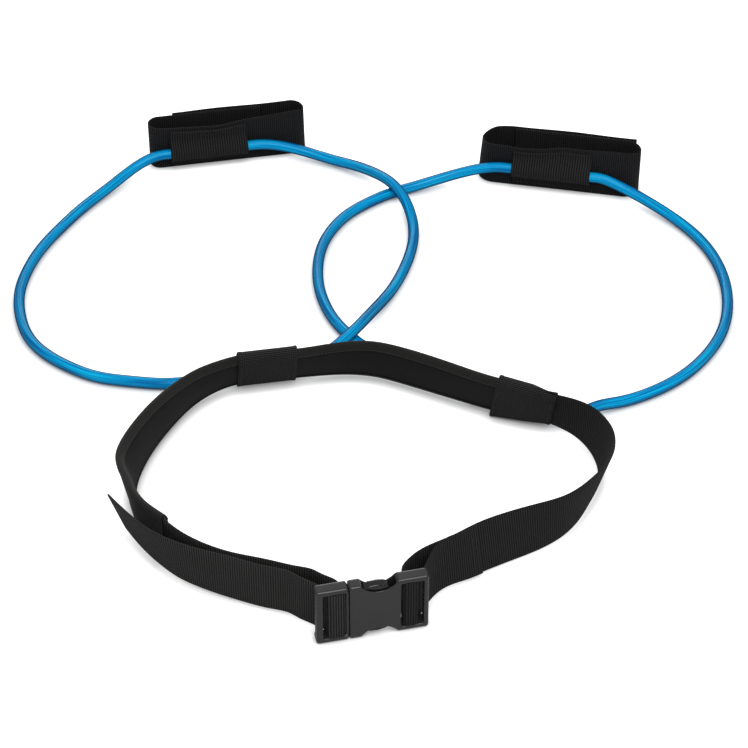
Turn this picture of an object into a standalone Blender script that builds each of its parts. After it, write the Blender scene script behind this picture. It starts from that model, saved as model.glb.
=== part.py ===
"""Waist resistance band: a padded belt with a side release buckle, two elastic tubes and two cuffs.

Sizes are in metres and +Z is up. The belt stands on its lower edge, as it lies on a table, with the
buckle towards -Y. The origin is on the table under the middle of the belt and its cuffs.
"""
import math

import bmesh
import bpy
import numpy as np
from mathutils import Matrix, Vector

MM = 0.001
GAP = 0.3 * MM

# Belt and pad
STRAP_WIDTH = 50 * MM
STRAP_THICK = 1.6 * MM
PAD_WIDTH = 57 * MM
LINING_THICK = 0.6 * MM
FOAM_THICK = 2.4 * MM
COVER_THICK = 0.6 * MM
BINDING_THICK = 0.5 * MM
BINDING_DEPTH = 8 * MM

# Elastic tubes and the plugs that close them
TUBE_DIAMETER = 11 * MM
TUBE_BORE = 6 * MM
TUBE_POINT_SPACING = 26 * MM
JOINER_STEM = 12 * MM
JOINER_COLLAR = 1.5 * MM

# Bands that hold the tubes on the belt
SLEEVE_LENGTH = 56 * MM
SLEEVE_THICK = 1.2 * MM
TUBE_PLAY = 0.5 * MM

# Buckle, measured along its length, from its front to its back, and upwards
BUCKLE_LENGTH = 98 * MM
BUCKLE_THICK = 12.5 * MM
BUCKLE_MIDDLE = (-21.8 * MM, -359.4 * MM)
BUCKLE_YAW = math.radians(13)
BUCKLE_EDGE = 2 * MM
SOCKET_MOUTH = -20.4 * MM
SOCKET_WALL = 1.65 * MM
SOCKET_SIDE_WALL = 2.5 * MM
SOCKET_END_WALL = 3 * MM
SOCKET_LADDER = 24.5 * MM
RAIL_HEIGHT = 4.7 * MM
BUCKLE_HEIGHT = STRAP_WIDTH + 2 * (RAIL_HEIGHT + GAP)
BAR_THICK = 4 * MM
SOCKET_SLOT = 4.2 * MM
PLUG_SLOT = 6.3 * MM
SOCKET_BAR_WIDTH = 8.8 * MM
PLUG_BAR_WIDTH = 11.5 * MM
END_BAR_WIDTH = 4.6 * MM
PLUG_END_BAR_WIDTH = 6 * MM
END_BAR_BACK = 1 * MM
SCOOP_CENTRE = 6 * MM
SCOOP_WIDTH = 33 * MM
SCOOP_DEPTH = 9 * MM
CROSS_MEMBER = 3.2 * MM
ARM_ROOT_RADIUS = 3.5 * MM
ARM_ROOT_HEIGHT = 17.5 * MM
ARM_LENGTH = 33 * MM
ARM_PLAY = 0.4 * MM
GUIDE_HEIGHT = 12 * MM
GUIDE_LENGTH = 36 * MM
GUIDE_THICK = 6 * MM

# Cuffs
TUNNEL_LENGTH = 82 * MM
TUNNEL_HEIGHT = 42 * MM
TUNNEL_THICK = 1.1 * MM
TAPE_WIDTH = 46 * MM
TAPE_THICK = 1 * MM
HOOK_LENGTH = 60 * MM
LOOP_LENGTH = 84 * MM

# Line of the webbing's lower edge, from the pad's front left end clockwise round the back to the
# buckle: x, y and height in millimetres, and the lean of the belt's top towards the wearer in degrees
PAD_LINE = [
    (-201.6, -278, 4.4, 0), (-214.6, -261, 4.4, -4), (-225.6, -242, 4.4, -7), (-232.6, -220, 4.5, -9),
    (-237.6, -200, 4.6, -11), (-237.6, -180, 4.6, -8), (-232.6, -154, 4.6, -2.5), (-222.6, -124.4, 4.5, 3),
    (-209.6, -97, 4.9, 9), (-192.6, -69.8, 5.8, 16.5), (-171.6, -50, 7.2, 22.5), (-149.6, -39.2, 8.1, 24.5),
    (-131.6, -35.9, 8.2, 24.5), (-111.6, -32.3, 8.2, 24.5), (-92.6, -28.9, 8.1, 24.5), (-69.6, -24.8, 7.2, 22.5),
    (-44.6, -22.2, 6.3, 19.8), (-18.6, -25, 5.9, 17), (9.4, -35.8, 5.8, 15), (37.4, -49, 5.9, 15),
    (65.4, -62.6, 6.3, 16.5), (90.4, -75, 7.3, 18), (107.4, -82.4, 7.4, 18.2), (124.4, -89.9, 7.4, 18),
]
FRONT_RIGHT_LINE = [
    (141.4, -97.4, 7.2, 17), (154.4, -103.8, 5.4, 13), (165.9, -112, 3.7, 8), (173.9, -121, 2.2, 2),
    (179.9, -132, 1.4, -4), (183.4, -143, 1.4, -8), (185.4, -156, 1.6, -12), (184.9, -170, 1.7, -14),
    (181.4, -185, 1.8, -15), (175.4, -199, 1.8, -14), (164.4, -221.5, 1.4, -8), (147.9, -244, 1.2, -1),
    (125.4, -262, 1.6, 8), (100.4, -276.5, 2.2, 13), (76.4, -290.5, 3, 14), (52.4, -305, 4, 10),
]
# The same line from the pad's front left end to the buckle, and the line of the free tail
FRONT_LEFT_LINE = [
    (-192.6, -287, 3.6, 0), (-175.6, -300, 2.4, 0), (-157.6, -310, 1.8, 0), (-139.6, -317.5, 1.8, 0),
    (-121.6, -323, 2.2, 0), (-103.6, -329, 2.8, 0), (-85.6, -335.5, 3.6, 0), (-71.6, -340.5, 4.4, 0),
]
TAIL_LINE = [
    (-90.6, -343.5, 4.6, 0), (-110.6, -336, 3.8, 0), (-131.2, -328, 3.2, 0), (-151.6, -319, 2.8, -1),
    (-171.6, -309, 2.6, -4), (-189.6, -298, 3, -7), (-204.3, -284.5, 3.4, -11), (-218, -269.4, 4, -13),
    (-230.1, -253.2, 4.8, -15), (-240.1, -238, 5.6, -17),
]
# How the straps come in behind the buckle's bars and leave over them: along the buckle from the bar's
# middle and towards its back in millimetres, then the lean in degrees
SOCKET_STRAP_IN = [(33, 32, 7), (18, 28.5, 4), (4, 21.5, 1), (-3, 14, 0), (-4.6, 7, 0)]
SOCKET_STRAP_OUT = [(11.6, 8.5, 0), (18, 17, 0), (26, 24.5, -3), (37, 30.3, -8)]
PLUG_STRAP_IN = [(-7, 22), (-1, 16.5), (4, 10), (5.6, 5.5)]
PLUG_STRAP_OUT = [(-9, 7), (-18, 16), (-27, 24)]
# How far the belt's two waist sleeves lie along the pad's line
LEFT_SLEEVE_ENDS = ((-149.6 * MM, -39.2 * MM), (-92.6 * MM, -28.9 * MM))
RIGHT_SLEEVE_ENDS = ((90.4 * MM, -75 * MM), (141.4 * MM, -97.4 * MM))

# Free stretches of the tubes, each between a waist sleeve and a cuff: x, y, z in millimetres
LEFT_TUBE_OUT = [
    (-185.6, -37, 8.2), (-216.6, -40, 5.8), (-248.6, -37, 5.8), (-285.6, -29, 5.8), (-311.6, -15, 5.8),
    (-335.6, 4, 5.8), (-354.6, 29, 5.8), (-366.6, 62, 5.8), (-371.6, 101, 5.8), (-367.6, 137, 5.8),
    (-356.6, 175, 5.8), (-339.6, 211, 5.8), (-319.6, 246, 6), (-296.6, 276, 8.2), (-275.6, 299, 13.2),
]
LEFT_TUBE_BACK = [
    (-113.6, 338, 16.2), (-87.6, 335, 10.2), (-61.6, 326, 7.2), (-37.6, 310, 10.7), (-16.6, 289, 15.7),
    (-0.6, 269, 17.5), (11.4, 248, 14.2), (18.9, 224, 8.7), (20.9, 197, 6), (17.4, 166, 5.8),
    (9.4, 135, 5.8), (-1.6, 105, 6.2), (-14.6, 76, 9.7), (-26.6, 49, 15.2), (-37.6, 28, 17.5), (-51.6, 10, 15.7),
    (-67.6, -7, 13.7),
]
RIGHT_TUBE_OUT = [
    (65.4, -41, 7.4), (40.4, -22, 5.8), (12.4, -7, 5.8), (-13.6, 5, 5.8), (-32.6, 19, 5.8), (-44.6, 34, 5.8),
    (-57.6, 55, 5.8), (-67.6, 80, 5.8), (-73.6, 105, 5.8), (-76.1, 132, 5.8), (-75.1, 158, 5.8),
    (-70.6, 183, 5.8), (-61.6, 207, 5.8), (-47.6, 230, 5.8), (-26.6, 251, 5.8), (-2.6, 268, 5.8),
    (22.4, 279, 6.7), (48.4, 286, 11.2), (76.4, 289.5, 18.2),
]
RIGHT_TUBE_BACK = [
    (230.4, 263.5, 21.2), (254.4, 251, 14.7), (282.4, 230, 8.2), (306.4, 200, 6), (322.4, 164, 5.8),
    (330.4, 122, 5.8), (329.4, 79, 5.8), (319.4, 38, 5.8), (300.4, 2, 5.8), (273.4, -30, 5.8),
    (240.4, -54, 5.8), (210.4, -68, 6.6), (193.4, -76, 9.5), (180.4, -86, 12.5), (168.4, -93, 13.2),
]

# Each cuff: the middle of its tube tunnel, its turn, its depth between the webbing's middles, and how
# far its folds and ends lie from the tunnel's middle, towards the fold where the lap opens
LEFT_CUFF = dict(side="left", middle=(-194.1 * MM, 325.5 * MM, 21 * MM), yaw=math.radians(11), mirror=1,
                 depth=22 * MM, hinge_fold=105 * MM, far_fold=-61 * MM, inner_end=60 * MM, lap_end=-34 * MM)
RIGHT_CUFF = dict(side="right", middle=(164.9 * MM, 278 * MM, 25 * MM), yaw=math.radians(-11), mirror=-1,
                  depth=30 * MM, hinge_fold=79 * MM, far_fold=-90 * MM, inner_end=43 * MM, lap_end=-84 * MM)

# Layers of the belt, measured from the webbing's middle towards the wearer
PAD_OVERHANG = (PAD_WIDTH - STRAP_WIDTH) / 2
FOAM_OUTSIDE = STRAP_THICK / 2 + GAP
LINING_OUTSIDE = FOAM_OUTSIDE + FOAM_THICK + GAP
PAD_INSIDE = LINING_OUTSIDE + LINING_THICK + GAP + BINDING_THICK
COVER_INSIDE = -STRAP_THICK / 2 - GAP
PAD_OUTSIDE = COVER_INSIDE - COVER_THICK - GAP - BINDING_THICK
CORE_LOW = -PAD_OVERHANG + BINDING_THICK + GAP
CORE_HIGH = STRAP_WIDTH + PAD_OVERHANG - BINDING_THICK - GAP
TUBE_RADIUS = TUBE_DIAMETER / 2
STRAP_LAP = STRAP_THICK + 0.4 * MM
BELT_STEP = 22 * MM
BAR_TO_STRAP = GAP + STRAP_THICK / 2

BELT_CENTRE = (-19.6 * MM, -189 * MM, 0)
PART = "waist_resistance_band"


def collection(name):
    made = bpy.data.collections.new(name)
    bpy.context.scene.collection.children.link(made)
    return made


def material(name, colour, roughness, metallic=0.0):
    made = bpy.data.materials.new(name)
    made.use_nodes = True
    shader = made.node_tree.nodes["Principled BSDF"]
    shader.inputs["Base Color"].default_value = (*colour, 1)
    shader.inputs["Roughness"].default_value = roughness
    shader.inputs["Metallic"].default_value = metallic
    return made


def millimetres(points):
    """Points written in millimetres, with a lean in degrees where they have a fourth number."""
    return [tuple(v * MM for v in p[:3]) + tuple(math.radians(v) for v in p[3:]) for p in points]


def smooth_route(points, step=0.5 * MM):
    """A natural cubic spline through the points, read every step along it."""
    p = np.array(points, float)
    knots = np.r_[0, np.cumsum(np.linalg.norm(np.diff(p[:, :3], axis=0), axis=1))]
    h = np.diff(knots)
    n = len(knots)
    matrix = np.eye(n)
    right = np.zeros_like(p)
    for i in range(1, n - 1):
        matrix[i, i - 1:i + 2] = h[i - 1], 2 * (h[i - 1] + h[i]), h[i]
        right[i] = 6 * ((p[i + 1] - p[i]) / h[i] - (p[i] - p[i - 1]) / h[i - 1])
    bend = np.linalg.solve(matrix, right)
    s = np.linspace(0, knots[-1], max(2, round(knots[-1] / step) + 1))
    k = np.clip(np.searchsorted(knots, s, side="right") - 1, 0, n - 2)
    hk = h[k][:, None]
    t = s[:, None] - knots[k][:, None]
    cubic = (bend[k] * (hk - t) ** 3 + bend[k + 1] * t ** 3) / (6 * hk)
    return cubic + (p[k] / hk - bend[k] * hk / 6) * (hk - t) + (p[k + 1] / hk - bend[k + 1] * hk / 6) * t


def thinned(route, longest, turn=math.radians(9), twist=math.radians(2.2)):
    """The stations of a route that are needed: one each time it has turned or leaned enough."""
    keep = [0]
    turned = leaned = run = 0.0
    for i in range(1, len(route) - 1):
        before = route[i, :3] - route[i - 1, :3]
        after = route[i + 1, :3] - route[i, :3]
        run += np.linalg.norm(before)
        cosine = np.dot(before, after) / (np.linalg.norm(before) * np.linalg.norm(after))
        turned += math.acos(min(1.0, max(-1.0, cosine)))
        leaned += abs(route[i, 3] - route[i - 1, 3])
        if turned > turn or leaned > twist or run > longest:
            keep.append(i)
            turned = leaned = run = 0.0
    keep.append(len(route) - 1)
    return route[keep]


def even(route, spacing):
    """The route read at equal distances, near the spacing."""
    run = np.r_[0, np.cumsum(np.linalg.norm(np.diff(route[:, :3], axis=0), axis=1))]
    s = np.linspace(0, run[-1], max(2, round(run[-1] / spacing) + 1))
    return np.column_stack([np.interp(s, run, column) for column in route.T])


def cut_route(route, start, end):
    """The stretch of a route between the stations nearest to two places (x, y)."""
    first, last = (int(np.argmin(np.hypot(route[:, 0] - x, route[:, 1] - y))) for x, y in (start, end))
    return route[first:last + 1]


def offset_route(route, inward, upward=0.0):
    """The route moved across the belt: towards the right of its travel, and up along the webbing."""
    along = np.gradient(route[:, :3], axis=0)
    along /= np.linalg.norm(along, axis=1)[:, None]
    right = np.column_stack([along[:, 1], -along[:, 0], np.zeros(len(route))])
    right /= np.linalg.norm(right, axis=1)[:, None]
    up = np.array([0, 0, 1.0])
    lean = route[:, 3:4]
    moved = route.copy()
    moved[:, :3] += inward * (right * np.cos(lean) - up * np.sin(lean))
    moved[:, :3] += upward * (right * np.sin(lean) + up * np.cos(lean))
    return moved


def give_mesh(name, mesh, surface, parent=None):
    """A finished mesh as a named piece, with sharp edges kept and round ones smooth."""
    mesh.name = name
    mesh.materials.clear()
    mesh.materials.append(surface)
    mesh.shade_smooth()
    mesh.set_sharp_from_angle(angle=math.radians(35))
    piece = bpy.data.objects.new(name, mesh)
    band.objects.link(piece)
    piece.parent = parent
    return piece


def mesh_of(source, closed=True):
    """The evaluated mesh of a curve or a guide, welded, with the source taken away."""
    bpy.context.view_layer.update()
    evaluated = source.evaluated_get(bpy.context.evaluated_depsgraph_get())
    mesh = bpy.data.meshes.new_from_object(evaluated)
    cage = bmesh.new()
    cage.from_mesh(mesh)
    bmesh.ops.remove_doubles(cage, verts=cage.verts, dist=0.01 * MM)
    if closed:
        bmesh.ops.recalc_face_normals(cage, faces=cage.faces)
    cage.to_mesh(mesh)
    cage.free()
    bpy.data.objects.remove(source)
    return mesh


def outline(points, name="outline"):
    """A closed flat outline, kept as a guide."""
    flat = bpy.data.curves.new(name, "CURVE")
    flat.dimensions = "2D"
    spline = flat.splines.new("POLY")
    spline.points.add(len(points) - 1)
    for point, (x, y) in zip(spline.points, points):
        point.co = (x, y, 0, 1)
    spline.use_cyclic_u = True
    guide = bpy.data.objects.new(name, flat)
    guides.objects.link(guide)
    guide.hide_render = True
    guide.display_type = "WIRE"
    return guide


def swept(route, section, capped=True):
    """The mesh that a flat section makes along a route, standing up and leaning as the route says."""
    guide = outline(section)
    line = bpy.data.curves.new("line", "CURVE")
    line.dimensions = "3D"
    line.twist_mode = "Z_UP"
    spline = line.splines.new("POLY")
    spline.points.add(len(route) - 1)
    for point, (x, y, z, lean) in zip(spline.points, route):
        point.co = (x, y, z, 1)
        point.tilt = lean
    line.bevel_mode = "OBJECT"
    line.bevel_object = guide
    line.use_fill_caps = capped
    source = bpy.data.objects.new("line", line)
    band.objects.link(source)
    mesh = mesh_of(source, capped)
    bpy.data.objects.remove(guide)
    split_alike(mesh)
    return mesh


def split_alike(mesh):
    """Splits each four-sided face along the diagonal that rises clockwise round the belt.

    Layers that lie on one another then crease along the same lines where the belt's lean changes."""
    cage = bmesh.new()
    cage.from_mesh(mesh)
    for face in [face for face in cage.faces if len(face.verts) == 4]:
        x, y, _ = face.calc_center_median() - Vector(BELT_CENTRE)
        climbs = []
        for pair in (face.verts[0], face.verts[2]), (face.verts[1], face.verts[3]):
            low, high = sorted(pair, key=lambda corner: corner.co.z)
            rise = high.co - low.co
            climbs.append((rise.x * y - rise.y * x, pair))
        bmesh.utils.face_split(face, *max(climbs, key=lambda climb: climb[0])[1])
    cage.to_mesh(mesh)
    cage.free()


def rectangle(x0, x1, y0, y1):
    return [(x0, y0), (x1, y0), (x1, y1), (x0, y1)]


def strap_section(low=0.0):
    return rectangle(-STRAP_THICK / 2, STRAP_THICK / 2, low, low + STRAP_WIDTH)


def arc(centre, radius, start, end, steps):
    """Points on an arc, with its angles in degrees."""
    angles = [math.radians(start + (end - start) * i / steps) for i in range(steps + 1)]
    return [(centre[0] + radius * math.cos(a), centre[1] + radius * math.sin(a)) for a in angles]


def plate(name, points, thick, surface, parent):
    """A flat outline in the parent's X and Z, made into a plate of the given thickness along Y."""
    guide = outline(points, name)
    guide.data.fill_mode = "BOTH"
    guide.data.extrude = thick / 2
    mesh = mesh_of(guide)
    mesh.transform(Matrix.Rotation(math.radians(90), 4, "X"))
    return give_mesh(name, mesh, surface, parent)


def block(name, x, y, z, surface, parent=None, edge=0.0, as_cutter=False):
    """A box between two values on each axis of its parent."""
    cage = bmesh.new()
    size = [b - a for a, b in (x, y, z)]
    middle = [(a + b) / 2 for a, b in (x, y, z)]
    bmesh.ops.create_cube(cage, size=1, matrix=Matrix.LocRotScale(Vector(middle), None, Vector(size)))
    mesh = bpy.data.meshes.new(name)
    cage.to_mesh(mesh)
    cage.free()
    piece = give_mesh(name, mesh, surface, parent)
    if edge:
        bevel(piece, edge)
    if as_cutter:
        hide(piece)
    return piece


def bevel(piece, width, segments=2):
    rounding = piece.modifiers.new("rounded edges", "BEVEL")
    rounding.width = width
    rounding.segments = segments
    rounding.limit_method = "ANGLE"
    rounding.angle_limit = math.radians(40)


def hide(piece):
    band.objects.unlink(piece)
    guides.objects.link(piece)
    piece.hide_render = True
    piece.display_type = "WIRE"


def cut(piece, cutter, operation="DIFFERENCE"):
    """Takes the cutter away from the piece, or joins it on."""
    change = piece.modifiers.new(operation.lower(), "BOOLEAN")
    change.operation = operation
    change.object = cutter
    change.solver = "EXACT"


def pivot(name, place, yaw, parent=None):
    empty = bpy.data.objects.new(name, None)
    band.objects.link(empty)
    empty.parent = parent
    empty.location = place
    empty.rotation_euler = (0, 0, yaw)
    return empty


def at_buckle(along, back):
    """A place on the table, from the buckle's middle along its length and towards its back."""
    c, s = math.cos(BUCKLE_YAW), math.sin(BUCKLE_YAW)
    return BUCKLE_MIDDLE[0] + along * c - back * s, BUCKLE_MIDDLE[1] + along * s + back * c


def at_strap(along, back, lean=0.0):
    """A point of a strap's line at the buckle, where its lower edge is just above the lower rail."""
    return (*at_buckle(along, back), (BUCKLE_HEIGHT - STRAP_WIDTH) / 2, math.radians(lean))


def round_bar(bar_middle, bar_width, side):
    """A strap's turn over the front of a bar, going towards the buckle's end on the given side."""
    reach = bar_width / 2 + BAR_TO_STRAP
    front = -BAR_THICK / 2 - BAR_TO_STRAP
    half = [(reach, 3 * MM), (reach, 0.5 * MM), (reach, -1.3 * MM), (reach - 0.4 * MM, front + 0.5 * MM),
            (reach - 1.7 * MM, front)]
    shape = [(-along, back) for along, back in half] + [(0, front)] + half[::-1]
    return [at_strap(bar_middle + side * along, back) for along, back in shape]


def make_belt_line():
    """The webbing's line from the pad's front left end round to the point where it nears the buckle."""
    return smooth_route(millimetres(PAD_LINE + FRONT_RIGHT_LINE))


def make_pad(belt_line):
    """The padded back: lining, foam and cover round the webbing, with tape over both long edges."""
    ends = [tuple(v * MM for v in PAD_LINE[i][:2]) for i in (0, -1)]
    line = cut_route(thinned(belt_line, BELT_STEP), *ends)
    layers = (
        ("pad_foam", FOAM_OUTSIDE, FOAM_OUTSIDE + FOAM_THICK, foam),
        ("pad_lining", LINING_OUTSIDE, LINING_OUTSIDE + LINING_THICK, lining),
        ("pad_cover", COVER_INSIDE - COVER_THICK, COVER_INSIDE, cover),
    )
    for name, outside, inside, surface in layers:
        give_mesh(name, swept(line, rectangle(outside, inside, CORE_LOW, CORE_HIGH)), surface)
    for name, edge, side in (("pad_binding_bottom", -PAD_OVERHANG, 1),
                             ("pad_binding_top", STRAP_WIDTH + PAD_OVERHANG, -1)):
        lip = edge + side * BINDING_DEPTH
        inner = edge + side * BINDING_THICK
        section = [(PAD_INSIDE, lip), (PAD_INSIDE, edge), (PAD_OUTSIDE, edge), (PAD_OUTSIDE, lip),
                   (PAD_OUTSIDE + BINDING_THICK, lip), (PAD_OUTSIDE + BINDING_THICK, inner),
                   (PAD_INSIDE - BINDING_THICK, inner), (PAD_INSIDE - BINDING_THICK, lip)]
        give_mesh(name, swept(line, section), binding)


def make_fixed_strap(belt_line):
    """Webbing from the pad's front left end, through the pad, to the socket, with its end sewn back."""
    bar_middle = SOCKET_LADDER + SOCKET_SLOT + SOCKET_BAR_WIDTH / 2
    near = [at_strap(bar_middle + along * MM, back * MM, lean) for along, back, lean in SOCKET_STRAP_IN]
    lap = offset_route(cut_route(belt_line, (74.4 * MM, -291.7 * MM), (62.4 * MM, -299 * MM)), -STRAP_LAP)
    lap[:, 3] *= -1
    lap_points = [tuple(p) for p in even(lap, 14 * MM)[::-1]]
    out = [at_strap(bar_middle + along * MM, back * MM, lean) for along, back, lean in SOCKET_STRAP_OUT]
    last_stretch = cut_route(belt_line, (100.4 * MM, -276.5 * MM), (58.4 * MM, -301.5 * MM))
    turn_points = [tuple(p) for p in even(last_stretch, 14 * MM)]
    end = smooth_route(turn_points + near + round_bar(bar_middle, SOCKET_BAR_WIDTH, 1) + out + lap_points)
    stations = cut_route(thinned(belt_line, BELT_STEP), belt_line[0, :2], (108.4 * MM, -272 * MM))
    stations = np.vstack([stations, thinned(end, BELT_STEP)])
    give_mesh("strap_fixed", swept(stations, strap_section()), webbing)


def make_adjuster_strap():
    """Webbing from the pad's front left end, round the plug's bar, and back outside as the tail."""
    bar_middle = -BUCKLE_LENGTH / 2 + PLUG_END_BAR_WIDTH + PLUG_SLOT + PLUG_BAR_WIDTH / 2
    start = millimetres([PAD_LINE[0]])[0]
    toward = millimetres(FRONT_LEFT_LINE)
    ahead = Vector(toward[0][:3]) - Vector(start[:3])
    first = Vector(start[:3]) + ahead.normalized() * GAP
    near = [at_strap(bar_middle + along * MM, back * MM) for along, back in PLUG_STRAP_IN]
    out = [at_strap(bar_middle + along * MM, back * MM) for along, back in PLUG_STRAP_OUT]
    route = [(*first, 0.0)] + toward + near + round_bar(bar_middle, PLUG_BAR_WIDTH, -1) + out
    route = smooth_route(route + millimetres(TAIL_LINE))
    give_mesh("strap_adjuster", swept(thinned(route, 20 * MM), strap_section()), tail_webbing)


def sleeve_frame(belt_line, ends):
    """The straight stretch of the belt's line that a waist sleeve holds, as two stations."""
    stretch = cut_route(belt_line, *ends)
    middle = (stretch[0] + stretch[-1]) / 2
    along = stretch[-1, :3] - stretch[0, :3]
    along /= np.linalg.norm(along)
    stations = np.array([middle, middle])
    stations[0, :3] -= along * SLEEVE_LENGTH / 2
    stations[1, :3] += along * SLEEVE_LENGTH / 2
    return stations


def tube_in_sleeve(stations, share):
    """Where the tube's middle is inside a waist sleeve, at a share of the sleeve's length."""
    outward = PAD_OUTSIDE - TUBE_PLAY - TUBE_RADIUS
    upward = -PAD_OVERHANG + TUBE_RADIUS + TUBE_PLAY
    line = offset_route(stations, outward, upward)
    return tuple(line[0, :3] * (1 - share) + line[1, :3] * share)


def make_waist_sleeve(side, stations):
    """A band round the pad and the tube, as a closed loop that is open at both ends."""
    slack = 1.2 * MM
    inside = PAD_INSIDE + slack
    low = -PAD_OVERHANG - GAP
    high = STRAP_WIDTH + PAD_OVERHANG + GAP
    tube = (PAD_OUTSIDE - TUBE_PLAY - TUBE_RADIUS, -PAD_OVERHANG + TUBE_RADIUS + TUBE_PLAY)
    round_tube = arc(tube, TUBE_RADIUS + TUBE_PLAY, 170, 262, 5)
    section = [(inside, low), (inside, high), (PAD_OUTSIDE - 4 * MM, high), (PAD_OUTSIDE - 6.5 * MM, high - 4 * MM)]
    section += [(tube[0] - TUBE_RADIUS - TUBE_PLAY, tube[1] + 6 * MM)] + round_tube + [(tube[0] + 1 * MM, low)]
    mesh = swept(stations, section[::-1], capped=False)
    sleeve = give_mesh("waist_sleeve_" + side, mesh, webbing)
    wall = sleeve.modifiers.new("wall", "SOLIDIFY")
    wall.thickness = SLEEVE_THICK
    wall.offset = 1
    wall.use_even_offset = True


def make_tube(side, points, joint_place, joint_along):
    """An elastic tube on its route, with a bore in both ends for the plug that joins them."""
    route = thinned(smooth_route([(*point, 0.0) for point in points], 1 * MM), TUBE_POINT_SPACING)
    line = bpy.data.curves.new("tube", "CURVE")
    line.dimensions = "3D"
    line.bevel_depth = TUBE_RADIUS
    line.bevel_resolution = 2
    line.use_fill_caps = True
    spline = line.splines.new("POLY")
    spline.points.add(len(route) - 1)
    for point, place in zip(spline.points, route):
        point.co = (*place[:3], 1)
    source = bpy.data.objects.new("tube", line)
    band.objects.link(source)
    tube = give_mesh("tube_" + side, mesh_of(source), rubber)
    turn = Vector(joint_along).to_track_quat("Z", "Y").to_matrix().to_4x4()
    cage = bmesh.new()
    depth = 2 * (JOINER_STEM + JOINER_COLLAR + GAP)
    bmesh.ops.create_cone(cage, cap_ends=True, segments=12, radius1=TUBE_BORE / 2, radius2=TUBE_BORE / 2,
                          depth=depth, matrix=Matrix.Translation(joint_place) @ turn)
    mesh = bpy.data.meshes.new("bore_" + side)
    cage.to_mesh(mesh)
    cage.free()
    bore = give_mesh("bore_" + side, mesh, rubber)
    hide(bore)
    cut(tube, bore)
    make_joiner(side, joint_place, turn)


def make_joiner(side, place, turn):
    """The plug inside a waist sleeve: a stem in each end of the tube and a collar between them."""
    stem = TUBE_BORE / 2 - GAP
    collar = TUBE_RADIUS
    half = JOINER_COLLAR / 2
    reach = half + JOINER_STEM
    profile = [(0, reach), (stem - 0.8 * MM, reach), (stem, reach - 2 * MM), (stem, half), (collar, half),
               (collar, -half), (stem, -half), (stem, 2 * MM - reach), (stem - 0.8 * MM, -reach), (0, -reach)]
    mesh = bpy.data.meshes.new("tube_joiner_" + side)
    mesh.from_pydata([(r, 0, z) for r, z in profile], [(i, i + 1) for i in range(len(profile) - 1)], [])
    joiner = give_mesh("tube_joiner_" + side, mesh, moulded)
    joiner.matrix_world = Matrix.Translation(place) @ turn
    turned = joiner.modifiers.new("turned", "SCREW")
    turned.steps = 12
    turned.render_steps = 12
    turned.use_merge_vertices = True
    turned.merge_threshold = 0.05 * MM


def cuff_place(cuff, along, height=None):
    """A point on the tube's axis in a cuff, in world coordinates."""
    x, y, z = cuff["middle"]
    return x + along * math.cos(cuff["yaw"]), y + along * math.sin(cuff["yaw"]), z if height is None else height


def make_cuff(cuff):
    """One cuff: a webbing loop whose lap closes on hook and loop tape, and a tunnel for the tube."""
    side, mirror, height = cuff["side"], cuff["mirror"], cuff["middle"][2]
    axis = pivot("cuff_axis_" + side, cuff["middle"], cuff["yaw"])
    front = TUBE_RADIUS + TUBE_PLAY + STRAP_THICK / 2
    back = front + cuff["depth"]
    loop_tape = back + STRAP_THICK / 2 + GAP
    hook_tape = loop_tape + TAPE_THICK + GAP
    lap = hook_tape + TAPE_THICK + GAP + STRAP_THICK / 2
    bottom = 0.3 * MM - height
    far_radius = cuff["depth"] / 2
    hinge_radius = (lap - front) / 2
    hinge_at = cuff["hinge_fold"] - hinge_radius

    path = [(cuff["inner_end"], back)]
    path += arc((cuff["far_fold"] + far_radius, front + far_radius), far_radius, 90, 270, 14)
    path += arc((hinge_at, front + hinge_radius), hinge_radius, -90, 90, 14)
    path[-1] = (hinge_at + GAP / 2, path[-1][1])
    route = np.array([(mirror * a, b, bottom, 0.0) for a, b in path])
    give_mesh("cuff_strap_" + side, swept(route, strap_section()), webbing, axis)

    hinge = pivot("lap_hinge_" + side, (mirror * hinge_at, lap + STRAP_THICK / 2, 0), 0, axis)
    flap_x = sorted((-mirror * GAP / 2, mirror * (cuff["lap_end"] - hinge_at)))
    block("cuff_flap_" + side, flap_x, (-STRAP_THICK, 0), (bottom, bottom + STRAP_WIDTH), webbing, hinge)
    tape_low = bottom + (STRAP_WIDTH - TAPE_WIDTH) / 2
    hook_start = max(cuff["lap_end"], cuff["far_fold"] + far_radius) + 4 * MM
    hook_x = sorted(mirror * (hook_start + d - hinge_at) for d in (0, HOOK_LENGTH))
    hook_y = hook_tape - lap - STRAP_THICK / 2
    block("cuff_hook_" + side, hook_x, (hook_y, hook_y + TAPE_THICK), (tape_low, tape_low + TAPE_WIDTH),
          tape, hinge)
    loop_start = cuff["far_fold"] + far_radius + 1 * MM
    loop_x = sorted(mirror * (loop_start + d) for d in (0, LOOP_LENGTH))
    block("cuff_loop_" + side, loop_x, (loop_tape, loop_tape + TAPE_THICK), (tape_low, tape_low + TAPE_WIDTH),
          tape, axis)
    make_tunnel(side, axis, height, front - STRAP_THICK / 2 - GAP)


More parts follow.
